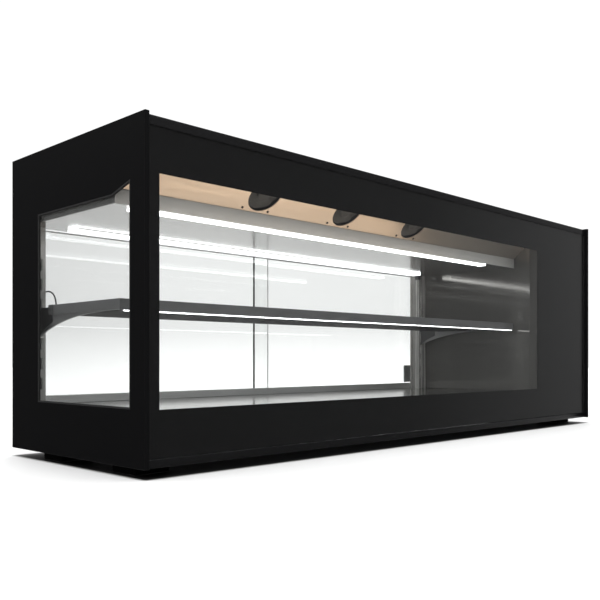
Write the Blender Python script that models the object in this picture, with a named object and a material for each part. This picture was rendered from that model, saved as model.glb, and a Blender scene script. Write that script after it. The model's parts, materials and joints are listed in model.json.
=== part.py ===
"""Countertop bakery display case: a glazed, lit and cooled cabinet with its machinery at the right end.

Metres, +Z up. +X runs along the case, -Y is the front, and the origin is on the counter under the middle.
"""

import math

import bmesh
import bpy
from mathutils import Vector

# Driving dimensions
LENGTH = 1.200
DEPTH = 0.350
SIDE_HEIGHT = 0.430
FOOT_HEIGHT = 0.012
SIDE_SHEET = 0.0065
STEEL = 0.0015
THIN_STEEL = 0.0012
GLASS = 0.005
FIT = 0.0003  # the gap between two pieces that meet
RECESS = 0.006  # from the side plates' front edges back to the front glass
RIM_DROP = 0.002  # from the side plates' top edges down to the lid
RIM_HEIGHT = 0.0121
ZONE_RIGHT = 0.3933  # inner face of the wall between the display space and the machinery
DECK_TOP = 0.0765
CEILING = 0.3414
LID_BOTTOM = 0.4205
RISER_Y = -0.1002
SHELF_TOP = 0.2220
SLOT_PITCH = 0.0294

# The outline that follows from them
LEFT, RIGHT = -LENGTH / 2, LENGTH / 2
FRONT, REAR = -DEPTH / 2, DEPTH / 2
FACE = FRONT + RECESS
BOTTOM, TOP = FOOT_HEIGHT, FOOT_HEIGHT + SIDE_HEIGHT
IN_LEFT, IN_RIGHT = LEFT + SIDE_SHEET, RIGHT - SIDE_SHEET
ZONE_LEFT = IN_LEFT + 0.001
ZONE_MIDDLE = (IN_LEFT + ZONE_RIGHT) / 2
RIM_TOP = TOP - RIM_DROP
GLASS_BOTTOM = BOTTOM + 0.0111
PAN_TOP = DECK_TOP - 0.0005
PANEL_TOP = LID_BOTTOM - FIT
REAR_SKIN = (REAR - 0.0020, REAR - 0.0005)
LINING_REAR = REAR - 0.025  # rear edges of the deck, the ceiling and the end wall
CEILING_SPACE = CEILING + 0.0191  # top of the ceiling panel's upturned edges

# The front glass turns about an axis in its rail
HINGE_Y = FACE + 0.0065
HINGE_Z = RIM_TOP - RIM_HEIGHT / 2
MASK_Y = (FACE + GLASS + FIT, FACE + GLASS + 0.0010)

# The sloping panel over the front of the display space, which carries the fans
SLOPE_LOW = Vector((0, RISER_Y, 0.3610))
SLOPE_HIGH = Vector((0, -0.1578, 0.4120))
SLOPE_ANGLE = math.atan2(SLOPE_HIGH.z - SLOPE_LOW.z, SLOPE_LOW.y - SLOPE_HIGH.y)
FAN_COUNT = 3
FAN_PITCH = 0.1806
FAN_LEFT = LEFT + 0.2408
FAN_UP_SLOPE = 0.0315
FAN_SIZE, FAN_DEPTH, FAN_BLADES = 0.060, 0.015, 7
FAN_BORE = 0.95  # of half the frame's width

# The slotted uprights, as distances from the middle of the display space
UPRIGHT_FRONT, UPRIGHT_BACK = 0.1315, 0.1485
UPRIGHT_OUTER, UPRIGHT_INNER, UPRIGHT_LIP = 0.4931, 0.4659, 0.4572
SLOT_OFFSET = 0.4742

DOOR_PLANES = {"left": REAR - 0.0175, "right": REAR - 0.0070}
DOOR_EDGES = {
    "left": (IN_LEFT + 0.001, -0.0947),
    "right": (-0.1227, ZONE_RIGHT - 0.001),
}

CUT = 0.01  # how far a cutter reaches past what it cuts


def clear_scene():
    for obj in list(bpy.data.objects):
        bpy.data.objects.remove(obj, do_unlink=True)


def material(name, colour, roughness, metallic=0.0, transmission=0.0, glow=0.0):
    made = bpy.data.materials.new(name)
    made.use_nodes = True
    shader = made.node_tree.nodes["Principled BSDF"]
    shader.inputs["Base Color"].default_value = (*colour, 1.0)
    shader.inputs["Roughness"].default_value = roughness
    shader.inputs["Metallic"].default_value = metallic
    shader.inputs["Transmission Weight"].default_value = transmission
    shader.inputs["Emission Color"].default_value = (1.0, 0.98, 0.94, 1.0)
    shader.inputs["Emission Strength"].default_value = glow
    made.diffuse_color = (*colour, 1.0)
    return made


def add_object(name, mesh, finish):
    obj = bpy.data.objects.new(name, mesh)
    bpy.context.scene.collection.objects.link(obj)
    if finish is not None:
        mesh.materials.append(finish)
    return obj


def mesh_from(name, shape):
    """The mesh of a bmesh, with its faces turned outwards."""
    bmesh.ops.recalc_face_normals(shape, faces=shape.faces)
    mesh = bpy.data.meshes.new(name)
    shape.to_mesh(mesh)
    shape.free()
    return mesh


def soften(obj, width, segments=1):
    bevel = obj.modifiers.new("edges", "BEVEL")
    bevel.width = width
    bevel.segments = segments
    bevel.limit_method = "ANGLE"
    return obj


def box(name, low, high, finish=None):
    shape = bmesh.new()
    bmesh.ops.create_cube(shape, size=1.0)
    for vertex in shape.verts:
        vertex.co = Vector(
            low[i] + (high[i] - low[i]) * (vertex.co[i] + 0.5) for i in range(3)
        )
    return add_object(name, mesh_from(name, shape), finish)


def extrusion(name, outline, axis, low, high, finish=None):
    """A flat outline carried along an axis. Its points give the other two axes, in X, Y, Z order."""
    across = [i for i in range(3) if i != axis]
    shape = bmesh.new()
    ends = []
    for at in (low, high):
        corners = []
        for point in outline:
            place = [0.0, 0.0, 0.0]
            place[axis] = at
            place[across[0]], place[across[1]] = point
            corners.append(shape.verts.new(place))
        ends.append(corners)
    shape.faces.new(ends[0])
    shape.faces.new(list(reversed(ends[1])))
    bmesh.ops.bridge_loops(
        shape, edges=[e for e in shape.edges if len(e.link_faces) == 1]
    )
    return add_object(name, mesh_from(name, shape), finish)


def sheet_outline(path, thickness):
    """The outline of a folded sheet, from the path of one side. The other side is to the path's left."""
    points = [Vector(p) for p in path]
    runs = [(b - a).normalized() for a, b in zip(points, points[1:])]
    sides = [Vector((-run.y, run.x)) for run in runs]
    far = []
    for i, point in enumerate(points):
        before, after = sides[max(i - 1, 0)], sides[min(i, len(sides) - 1)]
        middle = (before + after).normalized()
        far.append(point + middle * (thickness / middle.dot(before)))
    return [tuple(p) for p in points + far[::-1]]


def inset(outline, distance):
    """A convex outline, listed anticlockwise, moved inwards by a distance."""
    points = [Vector(p) for p in outline]
    moved = []
    for i, point in enumerate(points):
        before = (point - points[i - 1]).normalized()
        after = (points[(i + 1) % len(points)] - point).normalized()
        sides = [Vector((-run.y, run.x)) for run in (before, after)]
        middle = (sides[0] + sides[1]).normalized()
        moved.append(tuple(point + middle * (distance / middle.dot(sides[0]))))
    return moved


def circle(radius, sides, middle=(0.0, 0.0)):
    turns = [2 * math.pi * i / sides for i in range(sides)]
    return [
        (middle[0] + radius * math.cos(t), middle[1] + radius * math.sin(t))
        for t in turns
    ]


def turned(name, profile, middle, sides, finish):
    """A round body about a vertical axis, from (radius, height) pairs that start and end on the axis."""
    shape = bmesh.new()
    rings = []
    for radius, height in profile[1:-1]:
        ring = circle(radius, sides, middle)
        rings.append([shape.verts.new((x, y, height)) for x, y in ring])
    poles = [shape.verts.new((*middle, profile[i][1])) for i in (0, -1)]
    for i in range(sides):
        j = (i + 1) % sides
        shape.faces.new((poles[0], rings[0][i], rings[0][j]))
        shape.faces.new((poles[1], rings[-1][j], rings[-1][i]))
        for ring, following in zip(rings, rings[1:]):
            shape.faces.new((ring[i], following[i], following[j], ring[j]))
    return smooth(add_object(name, mesh_from(name, shape), finish))


def smooth(obj):
    obj.data.shade_smooth()
    obj.data.set_sharp_from_angle(angle=math.radians(35))
    return obj


def combine(obj, tools, operation):
    for tool in tools:
        boolean = obj.modifiers.new(tool.name, "BOOLEAN")
        boolean.operation = operation
        boolean.object = tool
        tool.hide_render = True
        tool.display_type = "WIRE"
    return obj


def cut(obj, *tools):
    return combine(obj, tools, "DIFFERENCE")


def weld(obj, *tools):
    return combine(obj, tools, "UNION")


def hang_on(name, place, pieces, rotation=None):
    """An empty on a joint's axis that carries the pieces. Unturned, it leaves them in their places."""
    pivot = bpy.data.objects.new(name, None)
    pivot.location = place
    bpy.context.scene.collection.objects.link(pivot)
    for piece in pieces:
        piece.parent = pivot
        if rotation is None:
            piece.location = -Vector(place)
    if rotation is not None:
        pivot.rotation_euler = rotation
    return pivot


def build_sides(finish, pane):
    """Two plates that stand proud of the front and the lid. The left one has a large window."""
    front, rear = -0.1432, 0.0938
    bottom, low_top, high_top = 0.0834, 0.3517, 0.3642
    window = [
        (front, bottom),
        (rear, bottom),
        (rear, low_top),
        (RISER_Y, low_top),
        (front, high_top),
    ]
    edge, pane_thickness = 0.0004, 0.004
    left = box(
        "left_side_plate", (LEFT, FRONT, BOTTOM), (IN_LEFT, REAR, TOP), finish
    )
    hole = extrusion("side_window_cut", window, 0, LEFT - CUT, IN_LEFT + CUT)
    soften(cut(left, hole), edge)
    right = box(
        "right_side_plate", (IN_RIGHT, FRONT, BOTTOM), (RIGHT, REAR, TOP), finish
    )
    soften(right, edge)
    outer = LEFT + edge
    extrusion(
        "left_side_glass", inset(window, FIT), 0, outer, outer + pane_thickness, pane
    )


def build_front(pane, mask, rail_finish, pin_finish):
    """The front glass hangs from a rail that turns on a pin in each side plate."""
    low_x, high_x = ZONE_LEFT, IN_RIGHT - 0.001
    rail_bottom = RIM_TOP - RIM_HEIGHT
    glass = box(
        "front_glass",
        (low_x, FACE, GLASS_BOTTOM),
        (high_x, FACE + GLASS, rail_bottom - FIT),
        pane,
    )
    soften(glass, 0.0003)
    print_layer = box(
        "front_mask",
        (low_x, MASK_Y[0], GLASS_BOTTOM),
        (high_x, MASK_Y[1], rail_bottom - FIT),
        mask,
    )
    clear_low, clear_high = (-0.5728, 0.0829), (0.3784, 0.3716)
    opening = box(
        "front_window_cut",
        (clear_low[0], FACE - CUT, clear_low[1]),
        (clear_high[0], FACE + 2 * CUT, clear_high[1]),
    )
    cut(print_layer, opening)

    back = FACE + 0.0105
    flange_front, flange_back = MASK_Y[1] + FIT, MASK_Y[1] + 0.0023
    flange_bottom = rail_bottom - 0.020
    chamfer, slant = 0.0006, 0.0033
    profile = [
        (FACE, rail_bottom),
        (flange_front, rail_bottom),
        (flange_front, flange_bottom),
        (flange_back, flange_bottom),
        (flange_back, rail_bottom),
        (back, rail_bottom + slant),
        (back, RIM_TOP),
        (FACE + chamfer, RIM_TOP),
        (FACE, RIM_TOP - chamfer),
    ]
    rail = extrusion("front_hinge_rail", profile, 0, low_x, high_x, rail_finish)
    pin_radius, bore_radius, sides = 0.0022, 0.0026, 16
    pin_end, bore_end = 0.012, 0.014
    for side, end, inwards in (("left", IN_LEFT, 1), ("right", IN_RIGHT, -1)):
        place = (HINGE_Y, HINGE_Z)
        bore = extrusion(
            f"hinge_bore_{side}",
            circle(bore_radius, sides, place),
            0,
            *sorted((end, end + inwards * bore_end)),
        )
        cut(rail, bore)
        pin = extrusion(
            f"hinge_pin_{side}",
            circle(pin_radius, sides, place),
            0,
            *sorted((end + inwards * FIT, end + inwards * pin_end)),
            pin_finish,
        )
        smooth(pin)
    hang_on("front_hinge_axis", (0, HINGE_Y, HINGE_Z), (glass, print_layer, rail))


def build_lid(finish):
    """A tray upside down, with a lip that reaches forward under the hinge rail."""
    low_x, high_x = IN_LEFT + FIT, IN_RIGHT - FIT
    front = FACE + 0.0160
    lip_reach, lip_height = 0.0070, 0.0016
    lid = box(
        "top_lid",
        (low_x, front, LID_BOTTOM),
        (high_x, REAR_SKIN[1], RIM_TOP),
        finish,
    )
    hollow = box(
        "lid_cut",
        (low_x + STEEL, front + STEEL, LID_BOTTOM - CUT),
        (high_x - STEEL, REAR_SKIN[0], RIM_TOP - STEEL),
    )
    lip = box(
        "lid_lip",
        (low_x, front - lip_reach, LID_BOTTOM),
        (high_x, front + STEEL / 2, LID_BOTTOM + lip_height),
    )
    weld(cut(lid, hollow), lip)


def build_base(finish, foot_finish, foam):
    """The base pan with its apron under the front glass, the feet and the insulation under the deck."""
    low_x, high_x = IN_LEFT + FIT, IN_RIGHT - FIT
    front = FACE + 0.0078
    pan = box(
        "base_pan",
        (low_x, front, BOTTOM + FIT),
        (high_x, REAR_SKIN[1], PAN_TOP),
        finish,
    )
    inside = box(
        "pan_cut",
        (low_x + STEEL, front + STEEL, BOTTOM + FIT + STEEL),
        (high_x - STEEL, REAR_SKIN[0], PAN_TOP + CUT),
    )
    apron = box(
        "pan_apron",
        (low_x, FACE + 0.0005, BOTTOM + FIT),
        (high_x, front + STEEL / 2, GLASS_BOTTOM - 0.0005),
    )
    weld(cut(pan, inside), apron)
    intake_low, intake_high = 0.415, 0.525
    intake_front, intake_pitch, intake_width = -0.130, 0.022, 0.008
    for i in range(6):
        y = intake_front + intake_pitch * i
        slot = box(
            f"intake_cut_{i}",
            (intake_low, y, 0.0),
            (intake_high, y + intake_width, BOTTOM + 2 * CUT),
        )
        cut(pan, slot)

    size, inwards = 0.052, 0.013
    for side, x in (("left", LEFT + inwards), ("right", RIGHT - inwards - size)):
        for end, y in (("front", -0.1337), ("rear", 0.0496)):
            foot = box(
                f"foot_{end}_{side}",
                (x, y, 0.0),
                (x + size, y + size, FOOT_HEIGHT),
                foot_finish,
            )
            soften(foot, 0.002, 2)

    clear = STEEL + 0.0010
    box(
        "base_insulation",
        (IN_LEFT + clear, FACE + 0.0100, BOTTOM + clear),
        (ZONE_RIGHT, REAR_SKIN[0] - 0.0005, DECK_TOP - 0.0062),
        foam,
    )


def build_deck(steel):
    """The display floor, a sheet with its front and rear edges turned down and a row of air slots."""
    front, turn_down = FACE + 0.0100, 0.0055
    path = [
        (LINING_REAR, DECK_TOP - turn_down),
        (LINING_REAR, DECK_TOP),
        (front, DECK_TOP),
        (front, DECK_TOP - turn_down),
    ]
    deck = extrusion(
        "deck_panel",
        sheet_outline(path, THIN_STEEL),
        0,
        IN_LEFT + STEEL + 2 * FIT,
        ZONE_RIGHT + 0.0025,
        steel,
    )
    slot_front, slot_width, slot_length, pitch = -0.1555, 0.005, 0.050, 0.0690
    for i in range(14):
        x = ZONE_LEFT + 0.020 + pitch * i
        slot = box(
            f"return_cut_{i}",
            (x, slot_front, DECK_TOP - 2 * THIN_STEEL),
            (x + slot_length, slot_front + slot_width, DECK_TOP + CUT),
        )
        cut(deck, slot)


def build_lining(steel, dark, end_finish):
    """The wall at the machinery end, the ceiling, the panel with the fans and the air probe."""
    wall_path = [(ZONE_RIGHT, LINING_REAR), (ZONE_RIGHT, -0.1363), (0.3795, -0.1592)]
    extrusion(
        "inner_end_wall",
        sheet_outline(wall_path, STEEL),
        2,
        DECK_TOP + FIT,
        PANEL_TOP,
        end_finish,
    )

    right = ZONE_RIGHT - 0.001
    ceiling_path = [
        (RISER_Y, CEILING_SPACE),
        (RISER_Y, CEILING),
        (LINING_REAR, CEILING),
    ]
    ceiling = extrusion(
        "ceiling_panel",
        sheet_outline(ceiling_path, THIN_STEEL),
        0,
        ZONE_LEFT,
        right,
        steel,
    )
    end_flange = box(
        "ceiling_end",
        (ZONE_LEFT, RISER_Y, CEILING),
        (ZONE_LEFT + THIN_STEEL, LINING_REAR, CEILING_SPACE),
    )
    weld(ceiling, end_flange)

    rest = 0.0075
    slope_path = [
        (SLOPE_HIGH.y, PANEL_TOP - FIT),
        (SLOPE_HIGH.y, SLOPE_HIGH.z),
        (SLOPE_LOW.y, SLOPE_LOW.z),
        (SLOPE_LOW.y + rest, SLOPE_LOW.z),
    ]
    panel = extrusion(
        "fan_panel", sheet_outline(slope_path, THIN_STEEL), 0, ZONE_LEFT, right, steel
    )
    for i in range(FAN_COUNT):
        hole = extrusion(
            f"fan_hole_cut_{i}", circle(FAN_SIZE / 2 * FAN_BORE, 32), 2, -CUT, CUT
        )
        hang_on(f"fan_hole_{i}", fan_place(i), [hole], (-SLOPE_ANGLE, 0, 0))
        cut(panel, hole)
    corner = box("panel_corner_cut", (0.3775, -0.17, 0.35), (0.40, -0.1345, 0.43))
    cut(panel, corner)

    probe_low, probe_size, probe_height = Vector((0.3460, 0.1190)), 0.009, 0.0118
    box(
        "air_probe",
        (*probe_low, CEILING - FIT - probe_height),
        (probe_low.x + probe_size, probe_low.y + probe_size, CEILING - FIT),
        dark,
    )


def fan_place(i):
    """The middle of a fan's face, on the upper side of the sloping panel."""
    up_slope = (SLOPE_HIGH - SLOPE_LOW).normalized()
    through = Vector((0, math.sin(SLOPE_ANGLE), math.cos(SLOPE_ANGLE)))
    face = SLOPE_LOW + up_slope * FAN_UP_SLOPE + through * (THIN_STEEL + FIT)
    return Vector((FAN_LEFT + FAN_PITCH * i, 0, 0)) + face


def axial_fan(label, size, depth, blades, place, rotation, finish):
    """A square frame with a motor seat on its far face, and a bladed wheel that turns about local Z."""
    half = size / 2
    bore, hub, arm = half * FAN_BORE, half * 0.46, size * 0.03
    reach = half * 0.98
    frame = box(f"{label}_frame", (-half, -half, 0), (half, half, depth), finish)
    throat = extrusion(f"{label}_throat", circle(bore, 32), 2, -CUT, depth + CUT)
    seat_low = depth - size * 0.025
    seat = extrusion(f"{label}_seat", circle(hub, 20), 2, seat_low, depth)
    arms = [
        box(f"{label}_arm_{n}", (-x, -y, seat_low), (x, y, depth))
        for n, (x, y) in enumerate(((reach, arm), (arm, reach)))
    ]
    weld(cut(frame, throat), seat, *arms)

    tip = bore * 0.95
    blade = ((hub, 0.0), (tip, 0.10), (tip, 0.45), (tip, 0.78), (hub, 0.62))
    width = 2 * math.pi / blades
    outline = []
    for n in range(blades):
        for radius, share in blade:
            angle = width * (n + share)
            outline.append((radius * math.cos(angle), radius * math.sin(angle)))
    wheel = extrusion(
        f"{label}_wheel", outline, 2, depth * 0.03, seat_low - 2 * FIT, finish
    )
    helpers = [throat, seat, *arms]
    hang_on(f"{label}_axis", place, [frame, wheel, *helpers], rotation)


def build_lights(profile_finish, diffuser_finish):
    """Two strips under the ceiling, each an aluminium strip with an opal cover."""
    profile_depth, cover_depth, rim = 0.0020, 0.0042, 0.001
    rows = {
        "front": (LEFT + 0.040, LEFT + 0.877, RISER_Y + 0.0015, 0.0165),
        "rear": (LEFT + 0.069, ZONE_RIGHT - 0.062, 0.1040, 0.020),
    }
    for label, (low_x, high_x, y, width) in rows.items():
        profile = box(
            f"light_profile_{label}",
            (low_x, y, CEILING - profile_depth),
            (high_x, y + width, CEILING - FIT),
            profile_finish,
        )
        soften(profile, 0.0004)
        box(
            f"light_diffuser_{label}",
            (low_x + rim, y + rim, CEILING - cover_depth),
            (high_x - rim, y + width - rim, CEILING - profile_depth - FIT),
            diffuser_finish,
        )


def build_uprights(finish):
    """A slotted channel in each rear corner, open at the back, with a lip along its inner side."""
    section = [
        (UPRIGHT_LIP, UPRIGHT_BACK),
        (UPRIGHT_INNER, UPRIGHT_BACK),
        (UPRIGHT_INNER, UPRIGHT_FRONT),
        (UPRIGHT_OUTER, UPRIGHT_FRONT),
        (UPRIGHT_OUTER, UPRIGHT_BACK),
    ]
    top_slot, slot_height, slot_half = 0.2935, 0.0172, 0.0029
    for side, sign in (("left", -1), ("right", 1)):
        path = [(ZONE_MIDDLE + sign * x, y) for x, y in section[::sign]]
        upright = extrusion(
            f"upright_{side}",
            sheet_outline(path, STEEL),
            2,
            DECK_TOP + FIT,
            CEILING - FIT,
            finish,
        )
        slot_x = ZONE_MIDDLE + sign * SLOT_OFFSET
        for n in range(7):
            top = top_slot - SLOT_PITCH * n
            slot = box(
                f"slot_cut_{side}_{n}",
                (slot_x - slot_half, UPRIGHT_FRONT - CUT, top - slot_height),
                (slot_x + slot_half, UPRIGHT_FRONT + 2 * STEEL, top),
            )
            cut(upright, slot)


def build_shelf(finish, diffuser_finish, lead_finish):
    """The lift-off shelf: a closed tray on two cantilever brackets, with a light under its front edge."""
    front, back, half_length = -0.1019, 0.0830, 0.4860
    low_x, high_x = ZONE_MIDDLE - half_length, ZONE_MIDDLE + half_length
    skirt = SHELF_TOP - 0.0137
    tray = box(
        "shelf_tray", (low_x, front, skirt), (high_x, back, SHELF_TOP), finish
    )
    hollow = box(
        "shelf_cut",
        (low_x + THIN_STEEL, front + THIN_STEEL, skirt - CUT),
        (high_x - THIN_STEEL, back + CUT, SHELF_TOP - THIN_STEEL),
    )
    cut(tray, hollow)
    strip = box(
        "shelf_light_diffuser",
        (low_x + 0.004, front, skirt - 0.0022),
        (high_x - 0.004, front + 0.0048, skirt - FIT),
        diffuser_finish,
    )

    nose, tip = front + 0.0034, UPRIGHT_FRONT - FIT
    top, shallow = SHELF_TOP - THIN_STEEL - FIT, skirt + 0.0006
    drop, steps, half_sheet = 0.0299, 10, 0.00125
    under = [
        (nose + (tip - nose) * n / steps, shallow - drop * (n / steps) ** 3)
        for n in range(steps + 1)
    ]
    outline = under + [(tip, top), (nose, top)]
    brackets = []
    for side, sign in (("left", -1), ("right", 1)):
        x = ZONE_MIDDLE + sign * SLOT_OFFSET
        brackets.append(
            extrusion(
                f"bracket_{side}", outline, 0, x - half_sheet, x + half_sheet, finish
            )
        )
    reach = SLOT_OFFSET - half_sheet - FIT
    closing = box(
        "shelf_bottom",
        (ZONE_MIDDLE - reach, front + THIN_STEEL + FIT, skirt),
        (ZONE_MIDDLE + reach, back - 0.001, skirt + 0.0010),
        finish,
    )

    lead = shelf_lead((low_x + 0.009, back - 0.004, SHELF_TOP), lead_finish)
    hang_on(
        "shelf_slide",
        (ZONE_MIDDLE, 0, SHELF_TOP),
        [tray, strip, closing, *brackets, lead],
    )


def shelf_lead(start, finish):
    """The light's lead: an arc up and back from the shelf's rear corner, then behind the upright."""
    radius, bend, rise, behind = 0.0011, 0.0022, 0.0245, 0.0070
    rear = UPRIGHT_BACK + STEEL
    corner = Vector((ZONE_MIDDLE - UPRIGHT_LIP + radius + 2 * FIT, rear))
    x, y, z = start
    z += radius * 0.2 + FIT
    route = []
    for n in range(11):
        turn = math.pi / 2 * n / 10
        share = 1 - math.cos(turn)
        route.append(
            (x + (corner.x - x) * share, y + (corner.y - y) * share, z + rise * math.sin(turn))
        )
    for n in range(1, 5):
        turn = math.pi / 2 * n / 4
        across = corner.x - bend * (1 - math.cos(turn))
        route.append((across, rear + bend * math.sin(turn), z + rise))
    route.append((across - behind, rear + bend, z + rise))
    curve = bpy.data.curves.new("shelf_light_lead", "CURVE")
    curve.dimensions = "3D"
    curve.bevel_depth = radius
    curve.bevel_resolution = 2
    curve.use_fill_caps = True
    spline = curve.splines.new("POLY")
    spline.points.add(len(route) - 1)
    for point, place in zip(spline.points, route):
        point.co = (*place, 1.0)
    return add_object("shelf_light_lead", curve, finish)


def track_outline(low_y, high_y, floor_z, rim_z):
    """An E-shaped rail: a web with three ribs, between which the two door panes run."""
    web, rib = math.copysign(0.0020, rim_z - floor_z), 0.0014
    middle = (low_y + high_y) / 2 - rib / 2
    points = [(low_y, floor_z), (high_y, floor_z), (high_y, rim_z)]
    points += [(high_y - rib, rim_z), (high_y - rib, floor_z + web)]
    points += [(middle + rib, floor_z + web), (middle + rib, rim_z)]
    points += [(middle, rim_z), (middle, floor_z + web)]
    points += [(low_y + rib, floor_z + web), (low_y + rib, rim_z), (low_y, rim_z)]
    return points


def build_doors(pane, rail_finish, pull_finish):
    """Two frameless panes that slide past each other in a double track, behind the uprights."""
    low_y, high_y = LINING_REAR + 0.0010, REAR - 0.0005
    ends = (IN_LEFT + FIT, ZONE_RIGHT + 0.0020)
    lower = (DECK_TOP + FIT, DECK_TOP + 0.0120)
    upper = (CEILING + 0.0125, CEILING + FIT)
    for label, (floor_z, rim_z) in (("lower", lower), ("upper", upper)):
        extrusion(
            f"door_track_{label}",
            track_outline(low_y, high_y, floor_z, rim_z),
            0,
            *ends,
            rail_finish,
        )
    bottom, top = lower[0] + 0.0026, upper[0] - 0.0060
    pull_width, pull_depth, pull_height, from_edge = 0.022, 0.0040, 0.040, 0.010
    pull_bottom = lower[1] + 0.0020
    for side, middle in DOOR_PLANES.items():
        low_x, high_x = DOOR_EDGES[side]
        glass = box(
            f"door_{side}_glass",
            (low_x, middle - GLASS / 2, bottom),
            (high_x, middle + GLASS / 2, top),
            pane,
        )
        soften(glass, 0.0003)
        pull_x = low_x + from_edge
        if side == "right":
            pull_x = high_x - from_edge - pull_width
        back = middle + GLASS / 2 + FIT
        pull = box(
            f"door_{side}_pull",
            (pull_x, back, pull_bottom),
            (pull_x + pull_width, back + pull_depth, pull_bottom + pull_height),
            pull_finish,
        )
        soften(pull, 0.0008, 2)
        pivot = ((low_x + high_x) / 2, middle, bottom)
        hang_on(f"door_{side}_slide", pivot, [glass, pull])


def build_rear(finish, plastic):
    """The panels behind the ceiling space and the machinery, with the controls and the mains inlet."""
    split = ZONE_RIGHT + 0.0024
    box(
        "rear_top_panel",
        (IN_LEFT + FIT, REAR_SKIN[0], CEILING + 0.0130),
        (split, REAR_SKIN[1], PANEL_TOP),
        finish,
    )
    panel = box(
        "rear_service_panel",
        (split + 2 * FIT, REAR_SKIN[0], PAN_TOP + FIT),
        (IN_RIGHT - FIT, REAR_SKIN[1], PANEL_TOP),
        finish,
    )
    vent_low, vent_high, vent_bottom = 0.430, 0.566, 0.130
    vent_pitch, vent_height = 0.0140, 0.006
    for n in range(9):
        z = vent_bottom + vent_pitch * n
        slot = box(
            f"vent_cut_{n}",
            (vent_low, REAR_SKIN[0] - CUT, z),
            (vent_high, REAR_SKIN[1] + CUT, z + vent_height),
        )
        cut(panel, slot)
    build_controls(panel, plastic)
    build_inlet(panel, plastic)


def build_controls(panel, finish):
    """The thermostat's bezel in the service panel, with three keys over two rocker switches."""
    low, high = (0.420, 0.1690, 0.290), (0.570, 0.1738, 0.395)
    room = Vector((FIT, CUT, FIT))
    cut(panel, box("bezel_cut", Vector(low) - room, Vector(high) + room))
    bezel = box("control_bezel", low, high, finish)

    through = Vector((0, 2 * CUT, 0))
    key_half, key_gap = Vector((0.007, 0.0024, 0.004)), Vector((0.0006, 0, 0.0006))
    for n, label in enumerate(("set", "down", "up")):
        place = Vector((0.452 + 0.030 * n, 0.1724, 0.345))
        room = key_half + key_gap + through
        cut(bezel, box(f"{label}_hole_cut", place - room, place + room))
        key = box(f"button_{label}", -key_half, key_half, finish)
        soften(key, 0.0006, 2)
        key.location = place

    rocker_room = Vector((0.0078, 0, 0.0100)) + through
    for n, label in enumerate(("light", "power")):
        place = Vector((0.465 + 0.045 * n, 0.1705, 0.312))
        cut(bezel, box(f"{label}_rocker_cut", place - rocker_room, place + rocker_room))
        rocker(f"{label}_switch_rocker", place, finish)


def build_inlet(panel, finish):
    """The mains inlet, a block in the service panel with a recess for the connector."""
    middle, half = Vector((0.545, 0, 0.102)), Vector((0.0150, 0, 0.0110))
    low, high = middle - half, middle + half
    low.y, high.y = 0.1580, 0.1742
    room = Vector((FIT, CUT, FIT))
    cut(panel, box("inlet_panel_cut", low - room, high + room))
    inlet = box("power_inlet", low, high, finish)
    wall = Vector((0.0025, 0, 0.0025))
    recess_low, recess_high = low + wall, high - wall
    recess_low.y, recess_high.y = 0.1640, high.y + CUT
    cut(inlet, box("inlet_recess_cut", recess_low, recess_high))


def rocker(name, place, finish):
    """A switch key that tips about X. Its face is a shallow V, and it rests tipped one way."""
    tilt, half_width = math.radians(8), 0.0070
    profile = [
        (-0.0030, -0.0070),
        (0.0024, -0.0088),
        (0.0008, 0.0),
        (0.0024, 0.0088),
        (-0.0030, 0.0070),
    ]
    tipped = [
        (
            w * math.cos(tilt) + u * math.sin(tilt),
            u * math.cos(tilt) - w * math.sin(tilt),
        )
        for w, u in profile
    ]
    key = extrusion(name, tipped, 0, -half_width, half_width, finish)
    hang_on(f"{name}_axis", place, [key], (0, 0, 0))


def comb(name, low, high, teeth, share, finish):
    """A finned block: fins in a row along X, each filling a share of its pitch, on one thin spine."""
    pitch = (high[0] - low[0]) / teeth
    spine = low[1] + 0.003
    outline = [(low[0], low[1])]
    for n in range(teeth):
        x = low[0] + pitch * n
        outline += [(x, spine)] if n else []
        outline += [(x, high[1]), (x + pitch * share, high[1])]
        outline += [(x + pitch * share, spine)]
    outline[-1] = (outline[-1][0], low[1])
    return extrusion(name, outline, 2, low[2], high[2], finish)


def hollow_box(name, low, high, wall, open_ends, finish):
    """A thin box without a floor, and without its two ends along X where open_ends is set."""
    side = -CUT if open_ends else wall
    cover = box(name, low, high, finish)
    hollow = box(
        f"{name}_cut",
        (low[0] + side, low[1] + wall, low[2] - CUT),
        (high[0] - side, high[1] - wall, high[2] - wall),
    )
    return cut(cover, hollow)


def build_machinery(shell, fins, case_finish, fan_finish):
    """The evaporator over the ceiling; the compressor, the condenser and the wiring box at the right end."""
    profile = [
        (0.0, 0.1640),
        (0.034, 0.1610),
        (0.054, 0.1480),
        (0.061, 0.1240),
        (0.061, 0.0620),
        (0.054, 0.0400),
        (0.034, 0.0320),
        (0.0, 0.0310),
    ]
    turned("compressor", profile, (0.497, 0.010), 20, shell)
    comb("condenser", (0.425, 0.096, 0.120), (0.571, 0.120, 0.262), 16, 0.30, fins)
    axial_fan(
        "condenser_fan",
        0.120,
        0.025,
        5,
        (0.498, 0.126, 0.190),
        (-math.pi / 2, 0, 0),
        fan_finish,
    )
    comb("evaporator", (-0.540, -0.040, 0.366), (0.330, 0.110, 0.408), 29, 0.15, fins)
    sheet = 0.002
    hollow_box(
        "electrical_box",
        (0.420, -0.150, 0.200),
        (0.575, -0.070, 0.400),
        sheet,
        False,
        case_finish,
    )
    hollow_box(
        "compressor_cradle",
        (0.418, -0.065, 0.0150),
        (0.578, 0.090, 0.0305),
        sheet,
        True,
        case_finish,
    )


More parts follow.
